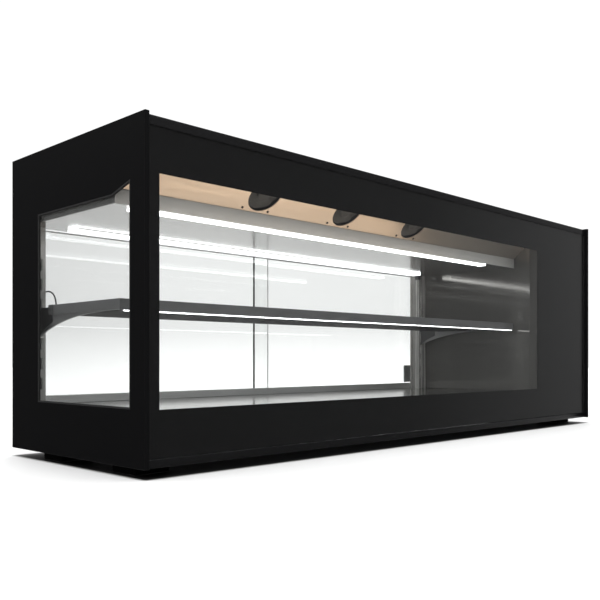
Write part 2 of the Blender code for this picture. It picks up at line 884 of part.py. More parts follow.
def main():
    clear_scene()
    black = material("black_powder_coat", (0.012, 0.012, 0.013), 0.45)
    ink = material("black_glass_print", (0.010, 0.010, 0.011), 0.25)
    pane = material("clear_glass", (0.93, 0.96, 0.95), 0.02, transmission=1.0)
    steel = material("satin_steel", (0.62, 0.62, 0.61), 0.28, metallic=1.0)
    mirror_steel = material("polished_steel", (0.55, 0.54, 0.52), 0.12, metallic=1.0)
    shelf_paint = material("grey_shelf_paint", (0.10, 0.10, 0.105), 0.40, metallic=0.3)
    aluminium = material("anodised_aluminium", (0.55, 0.55, 0.56), 0.35, metallic=1.0)
    plastic = material("dark_plastic", (0.05, 0.05, 0.053), 0.50)
    foot_rubber = material("foot_rubber", (0.02, 0.02, 0.02), 0.75)
    light = material("light_diffuser", (0.95, 0.95, 0.93), 0.50, glow=4.0)
    foam = material("insulation_foam", (0.80, 0.74, 0.55), 0.90)
    cast = material("compressor_paint", (0.015, 0.015, 0.016), 0.35)
    fins = material("fin_aluminium", (0.68, 0.69, 0.70), 0.40, metallic=1.0)
    lead_rubber = material("lead_rubber", (0.03, 0.03, 0.03), 0.70)

    build_sides(black, pane)
    build_front(pane, ink, black, aluminium)
    build_lid(black)
    build_base(black, foot_rubber, foam)
    build_deck(steel)
    build_lining(steel, plastic, mirror_steel)
    for i in range(FAN_COUNT):
        axial_fan(
            f"air_fan_{i + 1}",
            FAN_SIZE,
            FAN_DEPTH,
            FAN_BLADES,
            fan_place(i),
            (-SLOPE_ANGLE, 0, 0),
            plastic,
        )
    build_lights(aluminium, light)
    build_uprights(steel)
    build_shelf(shelf_paint, light, lead_rubber)
    build_doors(pane, aluminium, aluminium)
    build_rear(black, plastic)
    build_machinery(cast, fins, black, plastic)


main()
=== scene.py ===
"""Countertop bakery display case: looks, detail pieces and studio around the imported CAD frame."""

import json
import math

import bmesh
import bpy
from mathutils import Matrix, Vector


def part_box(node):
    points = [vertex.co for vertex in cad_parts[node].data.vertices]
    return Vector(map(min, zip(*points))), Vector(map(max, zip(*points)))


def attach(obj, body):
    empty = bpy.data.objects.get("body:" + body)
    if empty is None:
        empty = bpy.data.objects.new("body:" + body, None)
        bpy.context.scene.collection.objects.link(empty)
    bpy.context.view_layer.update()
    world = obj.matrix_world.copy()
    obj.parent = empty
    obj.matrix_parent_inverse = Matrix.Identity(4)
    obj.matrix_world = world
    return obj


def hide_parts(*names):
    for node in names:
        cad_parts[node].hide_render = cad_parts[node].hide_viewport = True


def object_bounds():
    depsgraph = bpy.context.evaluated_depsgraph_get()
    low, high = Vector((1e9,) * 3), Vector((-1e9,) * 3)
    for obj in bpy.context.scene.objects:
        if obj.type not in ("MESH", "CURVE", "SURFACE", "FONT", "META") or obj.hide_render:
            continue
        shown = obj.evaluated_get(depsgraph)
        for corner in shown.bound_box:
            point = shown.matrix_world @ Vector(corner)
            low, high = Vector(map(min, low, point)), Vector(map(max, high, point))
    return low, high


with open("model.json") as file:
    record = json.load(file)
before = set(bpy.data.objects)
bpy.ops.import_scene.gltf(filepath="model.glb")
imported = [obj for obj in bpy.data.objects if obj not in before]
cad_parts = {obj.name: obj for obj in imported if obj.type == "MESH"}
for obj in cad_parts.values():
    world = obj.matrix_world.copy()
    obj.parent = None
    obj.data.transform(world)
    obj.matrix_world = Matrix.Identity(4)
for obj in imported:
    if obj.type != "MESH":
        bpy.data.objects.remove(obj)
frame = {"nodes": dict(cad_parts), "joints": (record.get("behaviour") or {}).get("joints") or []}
cad_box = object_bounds()
X, Y, Z = Vector((1, 0, 0)), Vector((0, 1, 0)), Vector((0, 0, 1))


# ---------------------------------------------------------------- node helpers

def node(tree, kind, settings=None, inputs=None):
    made = tree.nodes.new(kind)
    for key, value in (settings or {}).items():
        setattr(made, key, value)
    for key, value in (inputs or {}).items():
        if isinstance(value, bpy.types.NodeSocket):
            tree.links.new(value, made.inputs[key])
        else:
            made.inputs[key].default_value = value
    return made


def finish(name, colour, roughness, **sockets):
    """A new Principled material. Returns it with its tree and its shader."""
    made = bpy.data.materials.new(name)
    made.use_nodes = True
    tree = made.node_tree
    shader = tree.nodes["Principled BSDF"]
    shader.inputs["Base Color"].default_value = (*colour, 1.0)
    shader.inputs["Roughness"].default_value = roughness
    for key, value in sockets.items():
        shader.inputs[key.replace("_", " ")].default_value = value
    made.diffuse_color = (*colour, 1.0)
    return made, tree, shader


def noise(tree, scale, stretch=(1, 1, 1), detail=3.0, roughness=0.5, distortion=0.0):
    """Noise in the object's own coordinates, in features per metre, drawn out where stretch is low."""
    place = node(tree, "ShaderNodeTexCoord")
    mapping = node(
        tree,
        "ShaderNodeMapping",
        inputs={"Vector": place.outputs["Object"], "Scale": stretch},
    )
    made = node(
        tree,
        "ShaderNodeTexNoise",
        inputs={
            "Vector": mapping.outputs["Vector"],
            "Scale": scale,
            "Detail": detail,
            "Roughness": roughness,
            "Distortion": distortion,
        },
    )
    return made.outputs[0]


def spread(tree, factor, low, high, start=0.35, end=0.65):
    made = node(
        tree,
        "ShaderNodeMapRange",
        inputs={
            "Value": factor,
            "From Min": start,
            "From Max": end,
            "To Min": low,
            "To Max": high,
        },
    )
    return made.outputs["Result"]


def shades(tree, factor, dark, light, start=0.35, end=0.65):
    made = node(tree, "ShaderNodeValToRGB", inputs={"Fac": factor})
    ramp = made.color_ramp
    ramp.elements[0].position, ramp.elements[1].position = start, end
    ramp.elements[0].color, ramp.elements[1].color = (*dark, 1), (*light, 1)
    return made.outputs["Color"]


def relief(tree, shader, *layers):
    """Bumps, each a factor and its height in metres, one over the other."""
    normal = None
    for factor, height in layers:
        made = node(
            tree, "ShaderNodeBump", inputs={"Height": factor, "Distance": height}
        )
        if normal is not None:
            tree.links.new(normal, made.inputs["Normal"])
        normal = made.outputs["Normal"]
    tree.links.new(normal, shader.inputs["Normal"])


def drive(tree, shader, **sources):
    for key, source in sources.items():
        tree.links.new(source, shader.inputs[key.replace("_", " ")])


def float_mix(tree, factor, first, second):
    made = node(
        tree, "ShaderNodeMix", {"data_type": "FLOAT"}, {0: factor, 2: first, 3: second}
    )
    return made.outputs[0]


def scaled(colour, factor):
    return tuple(c * factor for c in colour)


# ---------------------------------------------------------------- materials

def powder_coat(name, colour, roughness, level=0.5):
    """Stoved paint: a fine orange peel, with faint handling marks in the gloss."""
    made, tree, shader = finish(name, colour, roughness, Specular_IOR_Level=level)
    smears = noise(tree, 9.0, (1, 1, 2.2), 4.0, 0.6)
    grain = noise(tree, 2600.0, detail=1.0)
    peel = noise(tree, 620.0, detail=2.0)
    drive(
        tree,
        shader,
        Roughness=spread(tree, smears, roughness - 0.02, roughness + 0.03, 0.15, 0.85),
        Base_Color=shades(tree, grain, scaled(colour, 0.82), scaled(colour, 1.2)),
    )
    relief(tree, shader, (peel, 0.000018), (grain, 0.000004))
    return made


def brushed_metal(
    name, colour, low, high, axis, waviness=0.0003, contrast=0.10, metallic=1.0
):
    """Sheet brushed along one axis: long fine streaks, and the slow waviness of thin sheet."""
    made, tree, shader = finish(name, colour, (low + high) / 2, Metallic=metallic)
    fine = [1.0, 1.0, 1.0]
    fine[axis] = 0.004
    broad = [1.0, 1.0, 1.0]
    broad[axis] = 0.03
    hairs = noise(tree, 1500.0, fine, 2.0)
    bands = noise(tree, 120.0, broad, 3.0)
    wave = noise(tree, 5.5, detail=1.5, distortion=0.4)
    drive(
        tree,
        shader,
        Roughness=spread(tree, bands, low, high),
        Base_Color=shades(
            tree, hairs, scaled(colour, 1.0 - contrast), scaled(colour, 1.0 + contrast / 2)
        ),
    )
    relief(tree, shader, (wave, waviness), (hairs, 0.000003))
    return made


def glass(name, colour):
    """A clear pane that lets lamps through: a shadow ray sees it as transparent."""
    made, tree, shader = finish(
        name, colour, 0.0, Transmission_Weight=1.0, IOR=1.5
    )
    smears = noise(tree, 7.0, (1, 1, 1.8), 5.0, 0.6)
    drive(tree, shader, Roughness=spread(tree, smears, 0.0, 0.03, 0.45, 0.8))
    path = node(tree, "ShaderNodeLightPath")
    clear = node(
        tree, "ShaderNodeBsdfTransparent", inputs={"Color": (0.94, 0.96, 0.95, 1)}
    )
    mix = node(
        tree,
        "ShaderNodeMixShader",
        inputs={
            0: path.outputs["Is Shadow Ray"],
            1: shader.outputs["BSDF"],
            2: clear.outputs["BSDF"],
        },
    )
    tree.links.new(mix.outputs[0], tree.nodes["Material Output"].inputs["Surface"])
    return made


def moulded(name, colour, roughness, grain_height=0.00002):
    """Moulded plastic or rubber with a fine spark-eroded grain."""
    made, tree, shader = finish(name, colour, roughness)
    grain = noise(tree, 1900.0, detail=2.0)
    marks = noise(tree, 30.0, detail=4.0)
    drive(
        tree,
        shader,
        Roughness=spread(tree, marks, roughness - 0.06, roughness + 0.08),
        Base_Color=shades(tree, marks, scaled(colour, 0.85), scaled(colour, 1.15)),
    )
    relief(tree, shader, (grain, grain_height))
    return made


def opal_light(name, strength, dim=(0.93, 0.95, 0.98), bright=(1.0, 1.0, 1.0)):
    """A lit opal cover with the row of lamps behind it faintly showing."""
    made, tree, shader = finish(name, bright, 0.45)
    place = node(tree, "ShaderNodeTexCoord")
    wave = node(
        tree,
        "ShaderNodeTexWave",
        inputs={"Vector": place.outputs["Object"], "Scale": 26.0},
    )
    drive(
        tree,
        shader,
        Emission_Color=shades(tree, wave.outputs[0], dim, bright, 0.0, 1.0),
    )
    shader.inputs["Emission Strength"].default_value = strength
    return made


def foam(name, colour):
    made, tree, shader = finish(name, colour, 0.9)
    cells = noise(tree, 420.0, detail=4.0)
    drive(
        tree,
        shader,
        Base_Color=shades(tree, cells, scaled(colour, 0.85), scaled(colour, 1.08)),
    )
    relief(tree, shader, (cells, 0.0004))
    return made


def copper(name):
    made, tree, shader = finish(name, (0.72, 0.36, 0.22), 0.3, Metallic=1.0)
    stain = noise(tree, 60.0, detail=5.0)
    drive(
        tree,
        shader,
        Roughness=spread(tree, stain, 0.22, 0.45),
        Base_Color=shades(tree, stain, (0.42, 0.20, 0.13), (0.76, 0.40, 0.26)),
    )
    return made


LOOKS = {
    "black_powder_coat": powder_coat(
        "matt_black_powder", (0.0050, 0.0050, 0.0054), 0.50, 0.03
    ),
    "black_glass_print": powder_coat(
        "black_ceramic_print", (0.0035, 0.0035, 0.0038), 0.60, 0.0
    ),
    "clear_glass": glass("clear_float_glass", (0.985, 0.995, 0.99)),
    "satin_steel": brushed_metal(
        "satin_steel_x", (0.60, 0.595, 0.58), 0.12, 0.17, 0, 0.00006, 0.03
    ),
    "polished_steel": brushed_metal(
        "polished_steel_y", (0.19, 0.185, 0.175), 0.07, 0.09, 1, 0.00006, 0.03, 0.6
    ),
    "grey_shelf_paint": powder_coat("grey_shelf_enamel", (0.11, 0.11, 0.112), 0.32, 0.5),
    "anodised_aluminium": brushed_metal(
        "anodised_aluminium_x", (0.56, 0.56, 0.57), 0.32, 0.42, 0, 0.00002
    ),
    "dark_plastic": moulded("dark_grey_plastic", (0.05, 0.05, 0.053), 0.48),
    "foot_rubber": powder_coat("black_rubber", (0.004, 0.004, 0.004), 0.80, 0.02),
    "light_diffuser": opal_light("opal_cover_lit", 3.4),
    "insulation_foam": foam("cream_foam", (0.78, 0.72, 0.52)),
    "compressor_paint": powder_coat("compressor_enamel", (0.010, 0.010, 0.011), 0.28, 0.6),
    "fin_aluminium": brushed_metal(
        "mill_aluminium_z", (0.68, 0.69, 0.70), 0.34, 0.48, 2, 0.00005
    ),
    "lead_rubber": moulded("soft_black_rubber", (0.018, 0.018, 0.018), 0.62, 0.00003),
}
SEMI_GLOSS_BLACK = powder_coat(
    "semi_gloss_black_rail", (0.0060, 0.0060, 0.0065), 0.16, 0.5
)
OWN_LOOKS = {
    "upright": brushed_metal(
        "satin_steel_z", (0.66, 0.65, 0.63), 0.22, 0.30, 2, 0.00005, 0.04, 0.5
    ),
    # A paler copy of the shelf paint: painted light on the brackets, lifting them out of the tray's
    # shade.
    "bracket": powder_coat("bracket_enamel", (0.22, 0.22, 0.222), 0.36, 0.5),
    # The light profile's body glows faintly: painted light standing in for light falling on it, not a
    # lamp.
    "light_profile": opal_light("opal_body_lit", 0.55),
    # A darker copy of the shelf paint: painted shade on the shelf's underside.
    "shelf_bottom": powder_coat("shelf_underside_painted_shade", (0.022, 0.022, 0.022), 0.60, 0.08),
    # Satin steel whose warm tint is partly painted reflection: the warm glow of goods on show below.
    "fan_panel": brushed_metal(
        "satin_steel_painted_warm_glow", (0.74, 0.66, 0.58), 0.34, 0.42, 0, 0.00006, 0.03, 0.85
    ),
    "ceiling_panel": brushed_metal(
        "ceiling_steel_x", (0.48, 0.475, 0.465), 0.17, 0.21, 0, 0.0, 0.02, 0.75
    ),
    "door_track": brushed_metal(
        "pale_track_aluminium", (0.85, 0.85, 0.85), 0.50, 0.60, 0, 0.00002, 0.04
    ),
    "front_hinge_rail": SEMI_GLOSS_BLACK,
}
COPPER = copper("drawn_copper")
BRASS = brushed_metal("flare_nut_brass", (0.72, 0.56, 0.28), 0.25, 0.40, 2, 0.0)
ZINC = brushed_metal("zinc_plate", (0.55, 0.56, 0.58), 0.28, 0.42, 0, 0.0)
DARK_ZINC = brushed_metal("dark_screw_steel", (0.10, 0.10, 0.10), 0.30, 0.42, 0, 0.0)
FAN_GREY = moulded("mid_grey_fan_plastic", (0.055, 0.056, 0.057), 0.55)
# A paler, less metallic copy of the ceiling steel: painted light, for the strip's light on the riser.
RISER_STEEL_PAINTED_LIGHT = brushed_metal(
    "riser_steel_painted_light", (0.74, 0.725, 0.70), 0.30, 0.38, 0, 0.00004, 0.03, 0.25
)
# A painted glow: a trim that is no lamp gets light of its own, standing in for light falling on it.
PAINTED_GLOW_EDGE = opal_light("painted_glow_white_edge", 1.1)
CLEAR_STRIP = moulded("pale_edge_strip", (0.88, 0.88, 0.88), 0.4)
HOOK_PLATE = powder_coat("dark_hook_enamel", (0.060, 0.060, 0.061), 0.36, 0.5)
DISPLAY = moulded("smoked_display_lens", (0.004, 0.004, 0.005), 0.08, 0.0)
DIGITS = opal_light("display_digits", 3.0, (1.0, 0.10, 0.03), (1.0, 0.16, 0.05))
WHITE_MARK = moulded("white_marking", (0.7, 0.7, 0.7), 0.6)
RED_WIRE = moulded("red_wire", (0.42, 0.03, 0.02), 0.5, 0.00001)
BLUE_WIRE = moulded("blue_wire", (0.03, 0.09, 0.32), 0.5, 0.00001)
LABEL = moulded("silver_label", (0.50, 0.50, 0.50), 0.45, 0.0)


def look_of(name, slot):
    """A node's own look where its name starts with one that has it, or else its slot's."""
    for start, look in OWN_LOOKS.items():
        if name.startswith(start):
            return look
    return LOOKS[slot]


for name, obj in frame["nodes"].items():
    for holder in obj.material_slots:
        holder.material = look_of(name, holder.material.name.split(".")[0])


# ---------------------------------------------------------------- mesh helpers

def merged(shapes):
    whole = bmesh.new()
    for shape in shapes:
        mesh = bpy.data.meshes.new("part")
        shape.to_mesh(mesh)
        shape.free()
        whole.from_mesh(mesh)
        bpy.data.meshes.remove(mesh)
    return whole


def piece(name, shapes, look, body, angle=35):
    """One visible piece, made of closed shapes in the row frame, that rides on a body."""
    whole = merged(shapes)
    bmesh.ops.recalc_face_normals(whole, faces=whole.faces)
    mesh = bpy.data.meshes.new(name)
    whole.to_mesh(mesh)
    whole.free()
    mesh.shade_smooth()
    mesh.set_sharp_from_angle(angle=math.radians(angle))
    mesh.materials.append(look)
    obj = bpy.data.objects.new(name, mesh)
    bpy.context.scene.collection.objects.link(obj)
    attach(obj, body)
    return obj


def moved(shape, matrix):
    bmesh.ops.transform(shape, matrix=matrix, verts=shape.verts)
    return shape


def block(low, high, edge=0.0003, segments=2):
    """A box with rounded edges."""
    shape = bmesh.new()
    bmesh.ops.create_cube(shape, size=1.0)
    low, high = Vector(low), Vector(high)
    for vertex in shape.verts:
        vertex.co = Vector(
            low[i] + (high[i] - low[i]) * (vertex.co[i] + 0.5) for i in range(3)
        )
    if edge:
        bmesh.ops.bevel(
            shape,
            geom=list(shape.edges),
            offset=edge,
            segments=segments,
            profile=0.5,
            affect="EDGES",
        )
    return shape


def turned(profile, segments=24, lobes=0):
    """A round body about local Z, from (radius, height, lobe) triples with both ends on the axis."""
    shape = bmesh.new()
    rings = []
    for radius, height, lobe in profile[1:-1]:
        ring = []
        for i in range(segments):
            turn = 2 * math.pi * i / segments
            r = radius * (1 + lobe * math.cos(lobes * turn))
            ring.append(shape.verts.new((r * math.cos(turn), r * math.sin(turn), height)))
        rings.append(ring)
    ends = [shape.verts.new((0, 0, profile[i][1])) for i in (0, -1)]
    for i in range(segments):
        j = (i + 1) % segments
        shape.faces.new((ends[0], rings[0][i], rings[0][j]))
        shape.faces.new((ends[1], rings[-1][j], rings[-1][i]))
        for ring, following in zip(rings, rings[1:]):
            shape.faces.new((ring[i], following[i], following[j], ring[j]))
    return shape


def tube(points, radius, sides=10):
    """A round tube with closed ends along a line of points."""
    points = [Vector(p) for p in points]
    shape = bmesh.new()
    rings = []
    across = None
    for i, point in enumerate(points):
        ahead = (points[min(i + 1, len(points) - 1)] - points[max(i - 1, 0)]).normalized()
        if across is None:
            across = ahead.cross(Z if abs(ahead.z) < 0.9 else X).normalized()
        across = (across - ahead * across.dot(ahead)).normalized()
        other = ahead.cross(across)
        ring = []
        for n in range(sides):
            turn = 2 * math.pi * n / sides
            offset = across * math.cos(turn) + other * math.sin(turn)
            ring.append(shape.verts.new(point + offset * radius))
        rings.append(ring)
    for ring, following in zip(rings, rings[1:]):
        for n in range(sides):
            m = (n + 1) % sides
            shape.faces.new((ring[n], ring[m], following[m], following[n]))
    shape.faces.new(rings[0][::-1])
    shape.faces.new(rings[-1])
    return shape


def rounded_path(corners, radius, steps=6):
    """The corners joined by straight runs, with each inner corner taken round a bend."""
    corners = [Vector(c) for c in corners]
    path = [corners[0]]
    for before, corner, after in zip(corners, corners[1:], corners[2:]):
        a = (before - corner).normalized()
        b = (after - corner).normalized()
        reach = min(radius, (before - corner).length / 2, (after - corner).length / 2)
        start, end = corner + a * reach, corner + b * reach
        for n in range(steps + 1):
            t = n / steps
            path.append(start * (1 - t) ** 2 + corner * 2 * t * (1 - t) + end * t**2)
    path.append(corners[-1])
    return path


def facing(place, direction):
    """A matrix that puts local Z along the direction, at the place."""
    turn = Z.rotation_difference(Vector(direction).normalized()).to_matrix().to_4x4()
    return Matrix.Translation(Vector(place)) @ turn


def cylinder(radius, low, high, segments=24):
    """A plain round or many-sided bar about local Z, between two heights."""
    return turned([(0, low, 0), (radius, low, 0), (radius, high, 0), (0, high, 0)], segments)


def across_x(u, v, level):
    """A point of an outline in the YZ plane, at a level along X."""
    return (level, u, v)


def across_y(u, v, level):
    """A point of an outline in the XZ plane, at a level along Y."""
    return (u, level, v)


def plate(outline, place, low, high):
    """A flat plate of an outline's shape. place puts (u, v, level) into the row frame."""
    shape = bmesh.new()
    rings = [
        [shape.verts.new(place(u, v, level)) for u, v in outline] for level in (low, high)
    ]
    shape.faces.new(rings[0])
    shape.faces.new(rings[1][::-1])
    for i in range(len(outline)):
        j = (i + 1) % len(outline)
        shape.faces.new((rings[0][i], rings[0][j], rings[1][j], rings[1][i]))
    return shape


def slab(name, low, high, look, body, edge=0.0002, segments=2):
    """A piece that is one box with rounded edges."""
    return piece(name, [block(low, high, edge, segments)], look, body)


def screw(radius):
    """A low pan head with a six-lobed recess, standing on local Z = 0."""
    r = radius
    profile = [
        (0, 0, 0),
        (0.96 * r, 0, 0),
        (r, 0.10 * r, 0),
        (0.97 * r, 0.30 * r, 0),
        (0.80 * r, 0.55 * r, 0),
        (0.52 * r, 0.66 * r, 0),
        (0.46 * r, 0.64 * r, 0.12),
        (0.42 * r, 0.20 * r, 0.12),
        (0, 0.18 * r, 0),
    ]
    return turned(profile, 24, 6)


def screws(name, places, direction, radius, body, look):
    shapes = [moved(screw(radius), facing(place, direction)) for place in places]
    return piece(name, shapes, look, body)


# ---------------------------------------------------------------- fan wheels

def blade(hub, tip, low, high, start, chord, thickness, camber):
    """One twisted blade, from the hub to the tip: wide, thin and pitched, closed all round."""
    radial, along = 7, 10
    shape = bmesh.new()
    sheets = []
    for side in (-0.5, 0.5):
        sheet = []
        for i in range(radial + 1):
            share = i / radial
            radius = hub * 0.97 + (tip - hub * 0.97) * share
            width = chord * (0.80 + 0.20 * math.sin(math.pi * min(1.0, share * 0.72)))
            tall = (high - low) * (1.0 - 0.38 * share)
            row = []
            for j in range(along + 1):
                t = j / along - 0.5
                rounding = 1.0 - 0.16 * share * (2 * t) ** 4
                angle = start + width * t + 0.10 * share
                z = (low + high) / 2 + tall * t + camber * (0.25 - t * t)
                r = hub * 0.97 + (radius - hub * 0.97) * rounding
                z += side * thickness * (1.0 - 0.75 * abs(2 * t) ** 3)
                row.append(shape.verts.new((r * math.cos(angle), r * math.sin(angle), z)))
            sheet.append(row)
        sheets.append(sheet)
    for sheet in sheets:
        for i in range(radial):
            for j in range(along):
                shape.faces.new(
                    (sheet[i][j], sheet[i + 1][j], sheet[i + 1][j + 1], sheet[i][j + 1])
                )
    low_sheet, high_sheet = sheets
    rim = [(i, 0) for i in range(radial)] + [(radial, j) for j in range(along)]
    rim += [(i, along) for i in range(radial, 0, -1)] + [(0, j) for j in range(along, 0, -1)]
    for (i, j), (k, m) in zip(rim, rim[1:] + rim[:1]):
        shape.faces.new(
            (low_sheet[i][j], low_sheet[k][m], high_sheet[k][m], high_sheet[i][j])
        )
    return shape


def wheel(name, stands_for, body, axis, blades, overlap, share, look):
    """A moulded axial wheel in the space of its CAD node, which it replaces."""
    low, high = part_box(stands_for)
    middle = (low + high) / 2
    corners = [
        v.co - middle for v in frame["nodes"][stands_for].data.vertices
    ]
    axis = Vector(axis).normalized()
    heights = [c.dot(axis) for c in corners]
    tip = max((c - axis * c.dot(axis)).length for c in corners)
    bottom, top = min(heights), max(heights)
    hub = tip * 0.42
    reach = (top - bottom) * share
    cap = [
        (0, bottom, 0),
        (hub * 0.30, bottom, 0),
        (hub * 0.80, bottom + tip * 0.006, 0),
        (hub * 0.95, bottom + tip * 0.03, 0),
        (hub, bottom + tip * 0.08, 0),
        (hub, top, 0),
        (0, top, 0),
    ]
    shapes = [turned(cap, 40)]
    chord = 2 * math.pi / blades * overlap
    for n in range(blades):
        shapes.append(
            blade(
                hub,
                tip,
                bottom + reach * 0.10,
                bottom + reach * 0.90,
                2 * math.pi * n / blades,
                chord,
                tip * 0.045,
                tip * 0.10,
            )
        )
    placed = [moved(shape, facing(middle, axis)) for shape in shapes]
    made = piece(name, placed, look, body, 40)
    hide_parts(stands_for)
    return made


joints = {joint["name"]: joint for joint in frame["joints"]}
for n in (1, 2, 3):
    wheel(
        f"air_fan_{n}_impeller",
        f"air_fan_{n}_wheel",
        f"air_fan_{n}",
        joints[f"air_fan_{n}_spin"]["axis"],
        7,
        1.10,
        0.45,
        FAN_GREY,
    )
wheel(
    "condenser_impeller",
    "condenser_fan_wheel",
    "condenser_fan",
    joints["condenser_fan_spin"]["axis"],
    5,
    0.92,
    1.0,
    LOOKS["dark_plastic"],
)


# ---------------------------------------------------------------- screws

slope_normal = -Vector(joints["air_fan_1_spin"]["axis"])
down_slope = slope_normal.cross(X).normalized()
if down_slope.z > 0:
    down_slope = -down_slope
panel_points = [v.co for v in frame["nodes"]["fan_panel"].data.vertices]
face_level = max(
    p.dot(slope_normal) for p in panel_points if -0.150 < p.y < -0.106 and p.x < 0.37
)
fan_screw_places = []
for n in (1, 2, 3):
    seat = Vector(joints[f"air_fan_{n}_spin"]["pos_m"])
    for across in (-0.025, 0.025):
        for along in (-0.025, 0.025):
            place = seat + X * (across - 0.0030) + down_slope * (along + 0.0015)
            lift = face_level - place.dot(slope_normal)
            fan_screw_places.append(place + slope_normal * lift)
screws(
    "fan_screws", fan_screw_places, slope_normal, 0.0020, "case", DARK_ZINC
)

lid_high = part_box("top_lid")[1]
screws(
    "lid_screws",
    [
        (x, lid_high.y - 0.0002, lid_high.z - 0.0085)
        for x in (-0.56, -0.28, 0.0, 0.28, 0.56)
    ],
    Y,
    0.0030,
    "case",
    ZINC,
)

panel_low, panel_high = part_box("rear_service_panel")
screws(
    "service_panel_screws",
    [
        (x, panel_high.y - 0.0001, z)
        for x in (panel_low.x + 0.008, panel_high.x - 0.008)
        for z in (panel_low.z + 0.010, (panel_low.z + panel_high.z) / 2, panel_high.z - 0.010)
    ],
    Y,
    0.0030,
    "case",
    ZINC,
)

top_low, top_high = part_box("rear_top_panel")
screws(
    "rear_top_screws",
    [
        (x, top_high.y - 0.0001, (top_low.z + top_high.z) / 2)
        for x in (-0.575, -0.34, -0.10, 0.14, 0.38)
    ],
    Y,
    0.0030,
    "case",
    ZINC,
)


# ---------------------------------------------------------------- controls on the rear panel

bezel_low, bezel_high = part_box("control_bezel")
lens_low = Vector((bezel_low.x + 0.030, bezel_high.y - 0.0006, 0.3560))
lens_high = Vector((bezel_high.x - 0.030, bezel_high.y + 0.0004, 0.3870))
slab("thermostat_lens", lens_low, lens_high, DISPLAY, "case", 0.0004)

SEGMENTS = {"4": "bcfg", "0": "abcdef"}


def digit(mark, x, z, tall, face_y):
    """A seven-segment figure, read from behind the case, so +X is its left."""
    wide, stroke = tall * 0.5, tall * 0.13
    bars = {
        "a": ((0, 1), "h"),
        "b": ((1, 0.75), "v"),
        "c": ((1, 0.25), "v"),
        "d": ((0, 0), "h"),
        "e": ((-1, 0.25), "v"),
        "f": ((-1, 0.75), "v"),
        "g": ((0, 0.5), "h"),
    }
    shapes = []
    for letter in SEGMENTS[mark]:
        (side, up), way = bars[letter]
        centre = Vector((x - side * wide / 2, face_y, z + tall * up))
        length = (wide if way == "h" else tall / 2) - stroke * 1.1
        half = (
            Vector((length / 2, 0.00015, stroke / 2))
            if way == "h"
            else Vector((stroke / 2, 0.00015, length / 2))
        )
        shapes.append(block(centre - half, centre + half, 0.00008, 1))
    return shapes


face_y = lens_high.y + 0.00005
figures = digit("4", 0.503, lens_low.z + 0.0085, 0.014, face_y)
figures += digit("0", 0.489, lens_low.z + 0.0085, 0.014, face_y)
figures.append(
    block(
        (0.4955, face_y - 0.00015, lens_low.z + 0.0078),
        (0.4967, face_y + 0.00015, lens_low.z + 0.0090),
        0.00008,
        1,
    )
)
piece("thermostat_figures", figures, DIGITS, "case")


PRINT_DEPTH, PRINT_HEIGHT = 0.0001, 0.00012
ARROW_SIZE, DOT_RADIUS = 0.0020, 0.0016


def arrow(x, y, z, size, way):
    """A printed triangle on a face square to Y, pointing up (way 1) or down (way -1)."""
    outline = [
        (x - size, z - size * 0.55 * way),
        (x + size, z - size * 0.55 * way),
        (x, z + size * 0.75 * way),
    ]
    return plate(outline, across_y, y - PRINT_DEPTH, y + PRINT_HEIGHT)


for label, way in (("down", -1), ("up", 1)):
    key_low, key_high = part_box(f"button_{label}")
    middle = (key_low + key_high) / 2
    piece(
        f"button_{label}_mark",
        [arrow(middle.x, key_high.y, middle.z, ARROW_SIZE, way)],
        WHITE_MARK,
        f"button_{label}",
    )
key_low, key_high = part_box("button_set")
middle = (key_low + key_high) / 2
piece(
    "button_set_mark",
    [
        moved(
            cylinder(DOT_RADIUS, -PRINT_DEPTH, PRINT_HEIGHT),
            facing((middle.x, key_high.y, middle.z), Y),
        )
    ],
    WHITE_MARK,
    "button_set",
)

inlet_low, inlet_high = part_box("power_inlet")
inlet_mid = (inlet_low + inlet_high) / 2
pins = [
    block(
        (inlet_mid.x + x - 0.0010, 0.1635, inlet_mid.z + z - 0.0020),
        (inlet_mid.x + x + 0.0010, 0.1712, inlet_mid.z + z + 0.0020),
        0.0003,
    )
    for x, z in ((-0.0070, -0.0025), (0.0070, -0.0025), (0.0, 0.0030))
]
piece("inlet_pins", pins, ZINC, "case")


# ---------------------------------------------------------------- trim round the display space

def flat_ring(outer, inner, place, low, high):
    """A flat ring between two outlines of as many points. place is as for a plate."""
    shape = bmesh.new()
    loops = [
        [shape.verts.new(place(u, v, level)) for u, v in outline]
        for outline, level in ((outer, low), (outer, high), (inner, high), (inner, low))
    ]
    count = len(outer)
    for i in range(count):
        j = (i + 1) % count
        for one, other in zip(loops, loops[1:] + loops[:1]):
            shape.faces.new((one[i], one[j], other[j], other[i]))
    return shape


def shrunk(outline, distance):
    """A convex outline moved inwards by a distance."""
    points = [Vector(p) for p in outline]
    middle = sum(points, Vector((0, 0))) / len(points)
    moved_in = []
    for i, point in enumerate(points):
        before = (point - points[i - 1]).normalized()
        after = (points[(i + 1) % len(points)] - point).normalized()
        normals = [Vector((-run.y, run.x)) for run in (before, after)]
        normals = [n if n.dot(middle - point) > 0 else -n for n in normals]
        across = (normals[0] + normals[1]).normalized()
        moved_in.append(tuple(point + across * (distance / across.dot(normals[0]))))
    return moved_in


pane_low, pane_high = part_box("left_side_glass")
corners = {
    (round(v.co.y, 5), round(v.co.z, 5))
    for v in frame["nodes"]["left_side_glass"].data.vertices
}
centre = (pane_low + pane_high) / 2
window = sorted(
    corners, key=lambda c: math.atan2(c[1] - centre.z, c[0] - centre.y)
)
OUTER_SEAL_WIDTH, INNER_SEAL_WIDTH = 0.0016, 0.0020
piece(
    "side_window_seal",
    [
        flat_ring(
            window,
            shrunk(window, OUTER_SEAL_WIDTH),
            across_x,
            pane_low.x - 0.0003,
            pane_low.x + 0.0003,
        ),
        flat_ring(
            window,
            shrunk(window, INNER_SEAL_WIDTH),
            across_x,
            pane_high.x - 0.0002,
            pane_high.x + 0.0012,
        ),
    ],
    LOOKS["lead_rubber"],
    "case",
)

